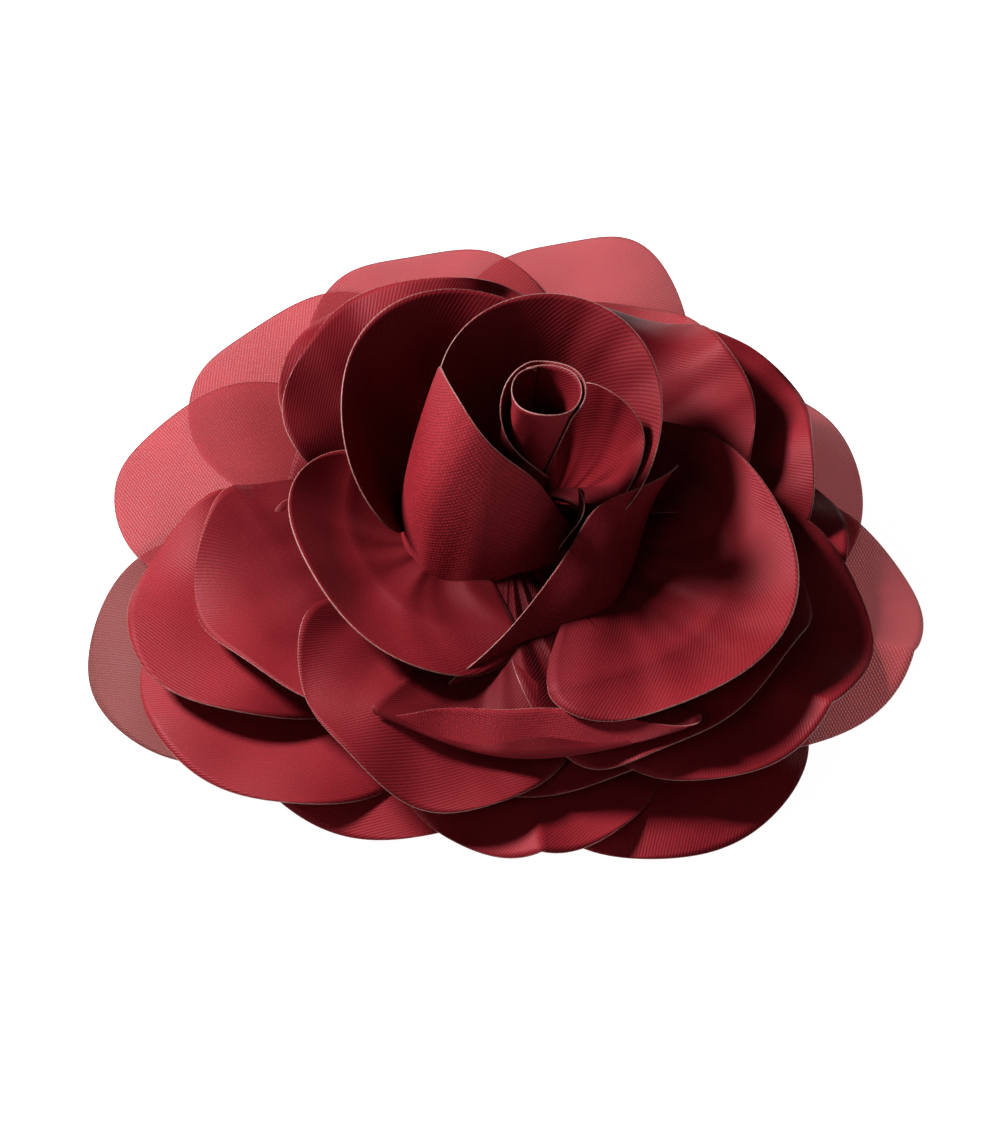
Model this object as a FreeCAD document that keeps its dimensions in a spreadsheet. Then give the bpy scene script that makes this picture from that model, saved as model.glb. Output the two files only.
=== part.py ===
"""Flower hair clip: satin petals in whorls round a rolled bud, on a felt disc and a sprung steel clip.

Millimetres, +Z up. The origin is the middle of the clip's underside, which is the plane Z = 0.
+X runs along the clip, from its closed tip (-X) to its finger tabs (+X).
"""
import FreeCAD, Part
import math
import os

import Sketcher

ORIGIN, H_AXIS = -1, -1
START, END, CENTRE = 1, 2, 3

# The flat-lying whorls are trimmed in plan, the standing ones in front view.
# Angles are degrees, anticlockwise from +X, of the whorl's first petal.
WHORLS = {
    "outer": {"count": 6, "first": 78, "foot": 9.6, "rim": 60.0, "top": 12.0, "curve": 623.0, "tip": 18.0},
    "second": {"count": 6, "first": 48, "foot": 10.4, "rim": 59.0, "top": 16.0, "curve": 260.0, "tip": 18.0},
    "third": {"count": 6, "first": 61, "foot": 11.2, "rim": 54.0, "top": 20.0, "curve": 140.0, "tip": 17.0},
    "fourth": {"count": 6, "first": 30, "foot": 12.0, "rim": 50.0, "top": 25.0, "curve": 88.0, "tip": 15.5},
    "fifth": {"count": 6, "first": 75, "foot": 12.8, "rim": 44.0, "top": 30.0, "curve": 56.0, "tip": 13.5},
    "cup": {"count": 5, "first": 52, "foot": 13.6, "rim": 34.0, "top": 36.5, "curve": 34.0, "tip": 16.0},
    "heart": {"count": 4, "first": 40, "foot": 14.4, "rim": 18.0, "top": 43.0, "curve": 42.0, "tip": 9.5},
}
STANDING = ("cup", "heart")

DIMS = {
    "axis": 0.0,
    "petal_sheet": 0.6,
    "petal_foot_radius": 5.2,
    "petal_foot_width": 3.4,
    "petal_foot_cut": 3.0,
    "petal_gap_angle": 2.5,
    "trim_reach": 75.0,
    "bud_foot_radius": 1.7,
    "bud_rim_radius": 4.9,
    "bud_foot_height": 14.6,
    "bud_rim_height": 46.0,
    "bud_wrap_angle": 315.0,
    "bud_core_foot_radius": 0.9,
    "bud_core_rim_radius": 3.3,
    "bud_core_height": 29.0,
    "felt_radius": 20.0,
    "felt_sheet": 1.5,
    "glue_radius": 4.6,
    "glue_height": 5.7,
    "arm_half_width": 5.0,
    "arm_sheet": 0.6,
    "arm_gap": 6.2,
    "upper_front": 32.0,
    "lower_front": 26.0,
    "arm_tail": 26.0,
    "arm_corner": 3.5,
    "lip_reach": 4.6,
    "lip_clearance": 0.3,
    "lip_depth": 6.5,
    "tooth_depth": 1.2,
    "tooth_width": 1.4,
    "pin_place": 8.0,
    "pin_height": 3.7,
    "pin_radius": 0.9,
    "pin_half_length": 5.1,
    "pin_head_radius": 1.6,
    "pin_head_length": 0.6,
    "rivet_bore": 0.92,
    "running_bore": 0.95,
    "ear_half_length": 3.0,
    "ear_reach": 1.5,
    "ear_sheet": 0.6,
    "ear_clearance": 0.1,
    "spring_wire": 0.35,
    "spring_coil": 2.7,
    "spring_length": 3.0,
    "spring_turns": 3.5,
    "spring_leg": 14.0,
}
for whorl_name, whorl in WHORLS.items():
    for size_name, size in whorl.items():
        DIMS[whorl_name + "_" + size_name] = size

doc = FreeCAD.newDocument("flower_hair_clip")


def make_sheet():
    """Writes one row per driving dimension: its name, and its value with the name as alias."""
    sheet = doc.addObject("Spreadsheet::Sheet", "dims")
    for row, (alias, size) in enumerate(DIMS.items(), start=1):
        sheet.set("A%d" % row, alias)
        sheet.set("B%d" % row, str(size))
        sheet.setAlias("B%d" % row, alias)
    doc.recompute()
    return sheet


def formula(text):
    """Turns sums of dimension names, such as 'arm_gap + arm_sheet', into a sheet expression."""
    return " ".join("dims." + word if word in DIMS else word for word in text.split())


def number(text):
    """The value of such a sum, for a sketch's starting geometry."""
    total, sign = 0.0, 1
    for word in text.split():
        if word in ("+", "-"):
            sign = 1 if word == "+" else -1
        else:
            total += sign * DIMS[word]
            sign = 1
    return total


def new_body(label):
    body = doc.addObject("PartDesign::Body", label)
    body.Label = label
    return body


def new_sketch(body, plane, name, offset=""):
    """A sketch on one of the body's own origin planes, moved along its normal by a sum of dimensions."""
    sketch = body.newObject("Sketcher::SketchObject", name)
    support = next(part for part in body.Origin.OriginFeatures if part.Role == plane)
    sketch.AttachmentSupport = [(support, "")]
    sketch.MapMode = "FlatFace"
    if offset:
        sketch.setExpression("AttachmentOffset.Base.z", formula(offset))
    return sketch


def constrain(sketch, kind, *items):
    """Adds a constraint; a last item that is text is a sum of dimensions, and is bound to the sheet."""
    if isinstance(items[-1], str):
        index = sketch.addConstraint(Sketcher.Constraint(kind, *items[:-1], number(items[-1])))
        sketch.setExpression("Constraints[%d]" % index, formula(items[-1]))
    else:
        sketch.addConstraint(Sketcher.Constraint(kind, *items))


def place_point(sketch, geometry, point, across, up):
    constrain(sketch, "DistanceX", ORIGIN, START, geometry, point, across)
    constrain(sketch, "DistanceY", ORIGIN, START, geometry, point, up)


def polygon(sketch, corners):
    """A closed outline through corners, each a pair of sums of dimensions."""
    points = [FreeCAD.Vector(number(across), number(up), 0) for across, up in corners]
    first = sketch.GeometryCount
    for start, end in zip(points, points[1:] + points[:1]):
        sketch.addGeometry(Part.LineSegment(start, end), False)
    for index, (across, up) in enumerate(corners):
        following = first + (index + 1) % len(corners)
        constrain(sketch, "Coincident", first + index, END, following, START)
        place_point(sketch, first + index, START, across, up)


def circle(sketch, across, up, radius):
    centre = FreeCAD.Vector(number(across) if across else 0, number(up) if up else 0, 0)
    index = sketch.addGeometry(Part.Circle(centre, FreeCAD.Vector(0, 0, 1), number(radius)), False)
    constrain(sketch, "Radius", index, radius)
    if across:
        place_point(sketch, index, CENTRE, across, up)
    else:
        constrain(sketch, "Coincident", index, CENTRE, ORIGIN, START)


def pad(body, sketch, name, length, midplane=False):
    feature = body.newObject("PartDesign::Pad", name)
    feature.Profile = sketch
    feature.Midplane = midplane
    feature.setExpression("Length", formula(length))
    return feature


def pocket(body, sketch, name, length):
    """Cuts the sketch through the body, as far to one side of its plane as to the other."""
    doc.recompute()
    before = body.Shape.Volume
    feature = body.newObject("PartDesign::Pocket", name)
    feature.Profile = sketch
    feature.Midplane = True
    feature.setExpression("Length", formula(length))
    doc.recompute()
    if body.Shape.Volume > before - 1e-6:
        raise RuntimeError(name + " cut nothing from " + body.Label)


def bowl_profile(sketch, whorl):
    """A petal's section: two concentric arcs that rise from the foot to the rim, joined square."""
    foot, foot_height = DIMS["petal_foot_radius"], DIMS[whorl + "_foot"]
    rim, top, curve = DIMS[whorl + "_rim"], DIMS[whorl + "_top"], DIMS[whorl + "_curve"]
    run, rise = rim - foot, top - foot_height
    chord = math.hypot(run, rise)
    offset = math.sqrt(curve ** 2 - chord ** 2 / 4)
    centre = FreeCAD.Vector((foot + rim) / 2 - offset * rise / chord,
                            (foot_height + top) / 2 + offset * run / chord, 0)
    first = math.atan2(foot_height - centre.y, foot - centre.x)
    last = math.atan2(top - centre.y, rim - centre.x)
    ends = []
    for radius in (curve, curve + DIMS["petal_sheet"]):
        ring = Part.Circle(centre, FreeCAD.Vector(0, 0, 1), radius)
        sketch.addGeometry(Part.ArcOfCircle(ring, first, last), False)
        ends.append([centre + FreeCAD.Vector(math.cos(a), math.sin(a), 0) * radius for a in (first, last)])
    for upper, lower in zip(*ends):
        sketch.addGeometry(Part.LineSegment(upper, lower), False)
    face, back, foot_end, rim_end = range(4)
    constrain(sketch, "Coincident", face, CENTRE, back, CENTRE)
    for edge, point in ((foot_end, START), (rim_end, END)):
        constrain(sketch, "Coincident", face, point, edge, START)
        constrain(sketch, "Coincident", back, point, edge, END)
        constrain(sketch, "PointOnObject", face, CENTRE, edge)
    place_point(sketch, face, START, "petal_foot_radius", whorl + "_foot")
    place_point(sketch, face, END, whorl + "_rim", whorl + "_top")
    constrain(sketch, "Radius", face, whorl + "_curve")
    constrain(sketch, "Radius", back, whorl + "_curve + petal_sheet")


def trim_frame(sketch):
    reach = "trim_reach"
    polygon(sketch, [("- " + reach, "- " + reach), (reach, "- " + reach), (reach, reach), ("- " + reach, reach)])


def petal_outline(sketch, whorl):
    """A spoon shape: a round tip, with two straight sides that run in from it to the narrow foot.

    Flat petals run along the sketch's first axis, and standing ones along its second.
    """
    standing = whorl in STANDING
    extent = whorl + ("_top" if standing else "_rim")
    cut, width, tip = DIMS["petal_foot_cut"], DIMS["petal_foot_width"], DIMS[whorl + "_tip"]
    run = DIMS[extent] - tip - cut
    slope = math.asin(tip / math.hypot(run, width)) - math.atan2(width, run)
    turn = math.pi / 2 + slope
    middle = math.pi / 2 if standing else 0.0
    side = 1 if standing else -1

    def spot(along, across):
        return FreeCAD.Vector(across, along, 0) if standing else FreeCAD.Vector(along, across, 0)

    centre = spot(DIMS[extent] - tip, 0)
    arc_ends = [centre + FreeCAD.Vector(math.cos(a), math.sin(a), 0) * tip for a in (middle - turn, middle + turn)]
    feet = [spot(cut, side * width), spot(cut, -side * width)]
    ring = Part.Circle(centre, FreeCAD.Vector(0, 0, 1), tip)
    arc = sketch.addGeometry(Part.ArcOfCircle(ring, middle - turn, middle + turn), False)
    sides = [sketch.addGeometry(Part.LineSegment(foot, end), False) for foot, end in zip(feet, arc_ends)]
    base = sketch.addGeometry(Part.LineSegment(feet[0], feet[1]), False)
    along, across = ("DistanceY", "DistanceX") if standing else ("DistanceX", "DistanceY")
    for line, point, sign in ((sides[0], START, side), (sides[1], END, -side)):
        constrain(sketch, "Tangent", line, END, arc, point)
        constrain(sketch, "Coincident", line, START, base, point)
        constrain(sketch, along, ORIGIN, START, line, START, "petal_foot_cut")
        constrain(sketch, across, ORIGIN, START, line, START, ("" if sign > 0 else "- ") + "petal_foot_width")
    constrain(sketch, "Radius", arc, whorl + "_tip")
    constrain(sketch, along, ORIGIN, START, arc, CENTRE, extent + " - " + whorl + "_tip")


def make_petal(whorl, index):
    """One cupped petal: its section turned about the flower's axis, then trimmed to its outline."""
    body = new_body("%s_petal_%d" % (whorl, index + 1))
    section = new_sketch(body, "XZ_Plane", "section")
    bowl_profile(section, whorl)
    bowl = body.newObject("PartDesign::Revolution", "bowl")
    bowl.Profile = section
    bowl.ReferenceAxis = (section, ["V_Axis"])
    bowl.Midplane = True
    bowl.setExpression("Angle", "360 / dims.%s_count - dims.petal_gap_angle" % whorl)
    outline = new_sketch(body, "YZ_Plane" if whorl in STANDING else "XY_Plane", "outline")
    trim_frame(outline)
    petal_outline(outline, whorl)
    pocket(body, outline, "trim", "trim_reach + trim_reach")
    turn = "dims.{0}_first + {1} * 360 / dims.{0}_count".format(whorl, index)
    body.Placement = FreeCAD.Placement(FreeCAD.Vector(), FreeCAD.Rotation(FreeCAD.Vector(0, 0, 1), 1))
    body.setExpression("Placement.Rotation.Angle", turn)
    return body


def turned(body, sketch, name, angle=""):
    feature = body.newObject("PartDesign::Revolution", name)
    feature.Profile = sketch
    feature.ReferenceAxis = (sketch, ["V_Axis"])
    if angle:
        feature.setExpression("Angle", formula(angle))
    else:
        feature.Angle = 360
    return feature


def make_bud_wrap():
    """The last strip rolled round the bud, a cone that stays open down one side."""
    body = new_body("bud_wrap")
    section = new_sketch(body, "XZ_Plane", "section")
    polygon(section, [
        ("bud_foot_radius", "bud_foot_height"),
        ("bud_foot_radius + petal_sheet", "bud_foot_height"),
        ("bud_rim_radius + petal_sheet", "bud_rim_height"),
        ("bud_rim_radius", "bud_rim_height"),
    ])
    turned(body, section, "roll", "bud_wrap_angle")
    return body


def make_bud_core():
    """The tight roll in the middle of the bud."""
    body = new_body("bud_core")
    section = new_sketch(body, "XZ_Plane", "section")
    top = "bud_foot_height + bud_core_height"
    polygon(section, [
        ("axis", "bud_foot_height"),
        ("bud_core_foot_radius", "bud_foot_height"),
        ("bud_core_rim_radius", top),
        ("axis", top),
    ])
    turned(body, section, "roll")
    return body


def make_disc(label, radius, base, thickness):
    body = new_body(label)
    outline = new_sketch(body, "XY_Plane", "outline", base)
    circle(outline, "", "", radius)
    pad(body, outline, "disc", thickness)
    return body


def vertical_edges(body):
    """Names of the straight upright edges of the body's shape."""
    names = []
    for index, edge in enumerate(body.Shape.Edges, start=1):
        start, end = edge.Vertexes[0].Point, edge.Vertexes[-1].Point
        if (end - start).getAngle(FreeCAD.Vector(0, 0, 1)) % math.pi < 1e-6:
            names.append("Edge%d" % index)
    return names


def round_corners(body, feature):
    doc.recompute()
    fillet = body.newObject("PartDesign::Fillet", "corners")
    fillet.Base = (feature, vertical_edges(body))
    fillet.setExpression("Radius", "dims.arm_corner")


def add_ears(body, low, high, half_width, bore):
    """Two ears on the plate, side by side about the pin: a block, hollowed between them, then bored."""
    left, right = "pin_place - ear_half_length", "pin_place + ear_half_length"
    block = new_sketch(body, "XZ_Plane", "ear_block")
    polygon(block, [(left, low), (right, low), (right, high), (left, high)])
    pad(body, block, "ears", half_width + " + " + half_width, midplane=True)
    doc.recompute()
    hollow = new_sketch(body, "XZ_Plane", "ear_hollow")
    past = " + ear_half_length"
    polygon(hollow, [(left + " - ear_half_length", low), (right + past, low), (right + past, high),
                     (left + " - ear_half_length", high)])
    inside = half_width + " - ear_sheet"
    pocket(body, hollow, "between_ears", inside + " + " + inside)
    hole = new_sketch(body, "XZ_Plane", "pin_hole")
    circle(hole, "pin_place", "pin_height", bore)
    pocket(body, hole, "pin_bore", "trim_reach + trim_reach")


def make_upper_arm():
    """The arm glued to the felt: a flat plate with two ears that turn down to the hinge pin."""
    body = new_body("clip_upper_arm")
    outline = new_sketch(body, "XY_Plane", "outline", "arm_sheet + arm_gap")
    polygon(outline, [("- upper_front", "- arm_half_width"), ("arm_tail", "- arm_half_width"),
                      ("arm_tail", "arm_half_width"), ("- upper_front", "arm_half_width")])
    plate = pad(body, outline, "plate", "arm_sheet")
    round_corners(body, plate)
    add_ears(body, "pin_height - ear_reach", "arm_sheet + arm_gap", "arm_half_width", "rivet_bore")
    return body


def cut_teeth(body):
    """Square notches across the lip's edge, which leave the teeth that hold the hair."""
    top, root = "lip_depth + tooth_depth", "lip_depth - tooth_depth"
    notches = new_sketch(body, "YZ_Plane", "notches")
    for left in ("- tooth_width - tooth_width - tooth_width", "- tooth_width", "tooth_width"):
        right = left + " + tooth_width"
        polygon(notches, [(left, root), (right, root), (right, top), (left, top)])
    pocket(body, notches, "teeth", "trim_reach + trim_reach")


def make_lower_arm():
    """The arm that swings: a flat plate whose tip bends up to meet the upper arm."""
    body = new_body("clip_lower_arm")
    side = new_sketch(body, "XZ_Plane", "side")
    front = "- lower_front"
    tip = "- lower_front - lip_reach"
    polygon(side, [(front, "axis"), ("arm_tail", "axis"), ("arm_tail", "arm_sheet"), (front, "arm_sheet"),
                   (tip + " + arm_sheet", "lip_depth"), (tip, "lip_depth")])
    pad(body, side, "strip", "arm_half_width + arm_half_width", midplane=True)
    cut_teeth(body)
    ears_half_width = "arm_half_width - ear_sheet - ear_clearance"
    add_ears(body, "arm_sheet", "pin_height + ear_reach", ears_half_width, "running_bore")
    return body


def make_pin():
    """The hinge pin: a shaft with a flat head outside each ear."""
    half, head = "pin_half_length", "pin_head_length"
    pieces = []
    for name, radius, start, length in (
        ("shaft", "pin_radius", "- " + half, half + " + " + half),
        ("near_head", "pin_head_radius", "- " + half + " - " + head, head),
        ("far_head", "pin_head_radius", half, head),
    ):
        piece = doc.addObject("Part::Cylinder", name)
        piece.Placement = FreeCAD.Placement(FreeCAD.Vector(), FreeCAD.Rotation(FreeCAD.Vector(1, 0, 0), -90))
        piece.setExpression("Radius", formula(radius))
        piece.setExpression("Height", formula(length))
        piece.setExpression("Placement.Base.x", formula("pin_place"))
        piece.setExpression("Placement.Base.y", formula(start))
        piece.setExpression("Placement.Base.z", formula("pin_height"))
        pieces.append(piece)
    pin = doc.addObject("Part::MultiFuse", "clip_pin")
    pin.Label = "clip_pin"
    pin.Shapes = pieces
    return pin


def spring_leg(body, name, across, up):
    leg = new_sketch(body, "YZ_Plane", name + "_wire")
    circle(leg, across, up, "spring_wire")
    pad(body, leg, name, "spring_leg")
    doc.recompute()


def make_spring():
    """The torsion spring round the pin, with a straight leg along the inside of each arm's tail.

    It is drawn with its axis along Z, from the lower leg's end of the coil, and then laid along Y.
    """
    body = new_body("clip_spring")
    wire = new_sketch(body, "YZ_Plane", "wire")
    circle(wire, "spring_coil", "axis", "spring_wire")
    coil = body.newObject("PartDesign::AdditiveHelix", "coil")
    coil.Profile = wire
    coil.ReferenceAxis = (wire, ["V_Axis"])
    coil.Mode = "height-turns-angle"
    coil.setExpression("Height", "dims.spring_length")
    coil.setExpression("Turns", "dims.spring_turns")
    doc.recompute()
    spring_leg(body, "lower_leg", "spring_coil", "axis")
    spring_leg(body, "upper_leg", "- spring_coil", "spring_length")
    body.Placement = FreeCAD.Placement(FreeCAD.Vector(), FreeCAD.Rotation(FreeCAD.Vector(1, 0, 0), -90))
    body.setExpression("Placement.Base.x", "dims.pin_place")
    body.setExpression("Placement.Base.y", "- dims.spring_length / 2")
    body.setExpression("Placement.Base.z", "dims.pin_height")
    return body


def check(part):
    """Stops at the first object that failed, and at a sub-part with no sound shape."""
    for item in doc.Objects:
        if "Invalid" in item.State or "Error" in item.State:
            raise RuntimeError("%s of %s failed" % (item.Name, part.Label))
    if part.Shape.isNull() or not part.Shape.isValid():
        raise RuntimeError(part.Label + " has no valid shape")


make_sheet()
parts = [make_petal(whorl, index) for whorl in WHORLS for index in range(WHORLS[whorl]["count"])]
parts += [make_bud_wrap(), make_bud_core()]
parts.append(make_disc("felt_disc", "felt_radius", "arm_sheet + arm_gap + arm_sheet", "felt_sheet"))
parts.append(make_disc("glue_core", "glue_radius", "arm_sheet + arm_gap + arm_sheet + felt_sheet", "glue_height"))
parts += [make_upper_arm(), make_lower_arm(), make_pin(), make_spring()]
doc.recompute()
for part in parts:
    check(part)
os.makedirs("parts", exist_ok=True)
for part in parts:
    part.Shape.exportStep("parts/" + part.Label + ".step")
    print("%-18s %8.1f mm3" % (part.Label, part.Shape.Volume))
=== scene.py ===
"""Looks for the flower hair clip: satin petals, rolled bud, felt, glue, steel clip, floor, light, camera.

Petal shapes are worked out in millimetres and degrees, and turned into metres when a mesh is made.
"""
import math

import bmesh
import bpy
import numpy as np
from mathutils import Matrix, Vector


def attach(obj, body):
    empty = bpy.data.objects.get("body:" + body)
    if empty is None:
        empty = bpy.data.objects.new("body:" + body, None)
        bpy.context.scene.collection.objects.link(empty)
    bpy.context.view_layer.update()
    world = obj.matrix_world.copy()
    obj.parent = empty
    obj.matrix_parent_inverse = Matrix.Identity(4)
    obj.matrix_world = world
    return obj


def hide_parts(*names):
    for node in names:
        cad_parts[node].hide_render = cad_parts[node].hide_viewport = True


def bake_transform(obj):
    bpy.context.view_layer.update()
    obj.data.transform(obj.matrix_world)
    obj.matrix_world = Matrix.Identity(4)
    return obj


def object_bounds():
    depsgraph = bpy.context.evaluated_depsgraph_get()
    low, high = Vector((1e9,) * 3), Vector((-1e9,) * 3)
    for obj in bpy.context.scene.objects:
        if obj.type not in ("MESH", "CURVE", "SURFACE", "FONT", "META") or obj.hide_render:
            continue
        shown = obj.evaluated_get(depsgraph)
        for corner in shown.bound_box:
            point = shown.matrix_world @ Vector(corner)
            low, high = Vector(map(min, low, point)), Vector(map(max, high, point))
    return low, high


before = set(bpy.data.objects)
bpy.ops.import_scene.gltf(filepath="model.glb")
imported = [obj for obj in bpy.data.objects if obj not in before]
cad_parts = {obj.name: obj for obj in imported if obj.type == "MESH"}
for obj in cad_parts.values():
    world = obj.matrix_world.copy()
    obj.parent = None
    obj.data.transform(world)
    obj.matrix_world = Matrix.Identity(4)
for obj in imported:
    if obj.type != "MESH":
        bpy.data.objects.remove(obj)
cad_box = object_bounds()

MM = 0.001

# ---- petal shapes ----
HALF_ROWS = 20
COLUMNS = 41
SPINE_STEPS = 200
CURL_START = 0.55
# How far a standing petal's curled edge comes down, as a share of how far it goes out.
CURL_DROP = 0.4
# The crease along the middle line near the foot: how deep, how wide, and the share of the length it reaches.
CREASE_DEPTH = 1.0
CREASE_WIDTH = 2.0
CREASE_REACH = 0.5


def along(values, place):
    """A quadratic through three values, at the foot, the middle and the tip."""
    foot, middle, tip = values
    return (foot * (1 - place) * (1 - 2 * place) + middle * 4 * place * (1 - place)
            + tip * place * (2 * place - 1))


def flat_grid(length, half_width, foot, widest):
    """Places on the flat petal: distance from the foot, and distance from the middle line.

    Towards the foot the rows narrow to its width; beyond the widest row the grid fills half an ellipse.
    """
    across = np.linspace(-1, 1, COLUMNS)
    reach = widest * length
    low = np.linspace(0, 1, HALF_ROWS, endpoint=False)[:, None]
    widths = foot + (half_width - foot) * np.sin(math.pi / 2 * low) ** 1.25
    low_along = np.broadcast_to(reach * low, (HALF_ROWS, COLUMNS))
    low_across = widths * across
    high = np.linspace(0, 1, HALF_ROWS)[:, None]
    high_along = reach + (length - reach) * high * np.sqrt(1 - across ** 2 / 2)
    high_across = half_width * across * np.sqrt(1 - high ** 2 / 2)
    return np.vstack([low_along, high_along]), np.vstack([low_across, high_across])


def spine(shape):
    """The petal's length, and its bent middle line: points, and the sideways and upward directions along it.

    It is an arc from the foot to the tip, both given as distance from the flower's axis and height.
    bow is how far it turns up, or below zero down, on the way, and sway how far it turns sideways.
    """
    (start, low), (reach, height) = shape["foot"], shape["tip"]
    bow = math.radians(shape["bow"])
    length = math.hypot(reach - start, height - low) * bow / math.sin(bow)
    steps = np.linspace(0, 1, SPINE_STEPS)
    climb = math.atan2(height - low, reach - start) + bow * (2 * steps - 1)
    heading = np.radians(shape["sway"]) * (steps - 0.5)
    forward = np.stack([np.cos(climb) * np.cos(heading), np.cos(climb) * np.sin(heading), np.sin(climb)], 1)
    side = np.stack([-np.sin(heading), np.cos(heading), 0 * heading], 1)
    points = np.cumsum(forward, 0) * length / SPINE_STEPS
    return length, points - points[0], side, np.cross(forward, side)


def rim_share(place, span, widest):
    """How far out a point is towards the petal's cut edge: 1 on the edge."""
    return np.clip(np.hypot(span, np.maximum(place - widest, 0) / (1 - widest)), 0, 1)


def curled_share(rim):
    """How much of the edge's curl a point has: heat rolls the outer part of the cloth over."""
    return np.clip((rim - CURL_START) / (1 - CURL_START), 0, 1) ** 2


def cup_bend(shape, place):
    """Half the angle that the petal's width is bent round, row by row, in radians."""
    return np.radians(along(shape["cup"], place))


def petal_lift(shape, place, across):
    """How far the petal stands above its middle line: its cup, waves, curled edge, crease and pinched tip."""
    half_width = shape["width"] / 2
    span = across / half_width
    bend = cup_bend(shape, place)
    lift = half_width / bend * (1 - np.cos(bend * span))
    rim = rim_share(place, span, shape["widest"])
    angle = np.arctan2(span, (place - shape["widest"]) / (1 - shape["widest"]))
    for size, waves, start in shape["waves"]:
        lift = lift + size * rim ** 3 * place ** 0.5 * np.cos(waves * angle + math.radians(start))
    lift = lift - shape["curl"] * curled_share(rim)
    crease_share = np.clip(1 - place / CREASE_REACH, 0, 1) ** 0.7
    lift = lift - CREASE_DEPTH * np.exp(-(across / CREASE_WIDTH) ** 2) * crease_share
    pinch, pinch_width = shape["pinch"]
    return lift + pinch * place ** 3 * np.exp(-np.abs(across) / pinch_width)


def petal_surface(shape):
    """The petal's middle surface, as rows and columns of points in millimetres, round the flower's axis."""
    length, line, side, up = spine(shape)
    half_width = shape["width"] / 2
    down, across = flat_grid(length, half_width, shape["foot_width"] / 2, shape["widest"])
    place = down / length
    steps = np.linspace(0, 1, SPINE_STEPS)

    def read(table):
        return np.stack([np.interp(place, steps, table[:, axis]) for axis in range(3)], -1)

    bend = cup_bend(shape, place)
    sideways = half_width / bend * np.sin(bend * across / half_width)
    lift = petal_lift(shape, place, across)
    points = read(line) + read(side) * sideways[..., None] + read(up) * lift[..., None]
    turn = math.radians(shape["turn"])
    x, y, z = points[..., 0] + shape["foot"][0], points[..., 1], points[..., 2] + shape["foot"][1]
    return np.stack([x * math.cos(turn) - y * math.sin(turn), x * math.sin(turn) + y * math.cos(turn), z], -1)


# Every petal's shape starts from its whorl's, and then differs a little, as cut and heated cloth does.
# foot and tip are each a distance from the flower's axis and a height, and turn is anticlockwise from +X.
# widest is the share of the length at which the petal is widest. cup is half the bend across it, at its foot,
# middle and tip. pinch is how far the tip's middle is drawn up, and over what width.
COMMON = {"foot_width": 7.0, "widest": 0.6, "sway": 0.0, "pinch": (0.0, 1.0), "curl": 1.2}
WHORLS = {
    "outer": {"foot": (5.0, 10.0), "width": 44, "bow": -3, "cup": (30, 6, 3), "wave_sizes": (1.2, 0.7)},
    "second": {"foot": (5.0, 11.0), "width": 44, "bow": 2, "cup": (30, 8, 4), "wave_sizes": (1.2, 0.7)},
    "third": {"foot": (4.5, 12.0), "width": 42, "bow": 4, "cup": (35, 12, 6), "wave_sizes": (2.0, 1.2)},
    "fourth": {"foot": (4.5, 13.0), "width": 42, "bow": 10, "cup": (40, 16, 10), "wave_sizes": (2.2, 1.3)},
    "fifth": {"foot": (4.0, 14.0), "width": 44, "bow": 17, "cup": (50, 26, 14), "wave_sizes": (2.2, 1.3)},
}
PETALS = {
    "outer_1": {"turn": 77, "tip": (61.5, 12), "width": 35},
    "outer_2": {"turn": 133, "tip": (56.5, 12), "width": 42},
    "outer_3": {"turn": 205, "tip": (61.5, 10), "width": 42},
    "outer_4": {"turn": 238, "tip": (53, 8)},
    "outer_5": {"turn": 303, "tip": (58, 9), "width": 42},
    "outer_6": {"turn": 20, "tip": (51.5, 13), "width": 46},
    "second_1": {"turn": 50, "tip": (48, 13), "width": 40},
    "second_2": {"turn": 105, "tip": (57.5, 13), "width": 38},
    "second_3": {"turn": 166, "tip": (56, 13), "width": 40},
    "second_4": {"turn": 220, "tip": (58, 12), "width": 44},
    "second_5": {"turn": 275, "tip": (54, 8), "width": 38, "widest": 0.55, "pinch": (4.0, 7.0)},
    "second_6": {"turn": 338, "tip": (60, 13), "pinch": (3.0, 4.0)},
    "third_1": {"turn": 55, "tip": (41.5, 23), "width": 36},
    "third_2": {"turn": 123, "tip": (42, 24), "width": 36},
    "third_3": {"turn": 196, "tip": (54.5, 17), "width": 41, "sway": -40},
    "third_4": {"turn": 250, "tip": (38, 11)},
    "third_5": {"turn": 300, "tip": (36, 11)},
    "third_6": {"turn": 354, "tip": (47.5, 16), "width": 34},
    "fourth_1": {"turn": 20, "tip": (44.5, 23), "width": 40},
    "fourth_2": {"turn": 92, "tip": (33, 24)},
    "fourth_3": {"turn": 157, "tip": (30, 20)},
    "fourth_4": {"turn": 225, "tip": (34, 13)},
    "fourth_5": {"turn": 278, "tip": (46, 11), "width": 44},
    "fourth_6": {"turn": 322, "tip": (56, 15), "width": 46, "pinch": (2.5, 5.0)},
    "fifth_1": {"turn": 78, "tip": (29, 30)},
    "fifth_2": {"turn": 125, "tip": (34, 31), "width": 42, "bow": 24},
    "fifth_3": {"turn": 215, "tip": (44.5, 22), "width": 45, "widest": 0.65},
    "fifth_4": {"turn": 250, "tip": (50, 13), "width": 40, "sway": -25, "bow": 8},
    "fifth_5": {"turn": 312, "tip": (47, 19), "width": 46, "widest": 0.65},
    "fifth_6": {"turn": 32, "tip": (37, 29), "width": 32, "cup": (25, 14, 10)},
}
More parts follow.
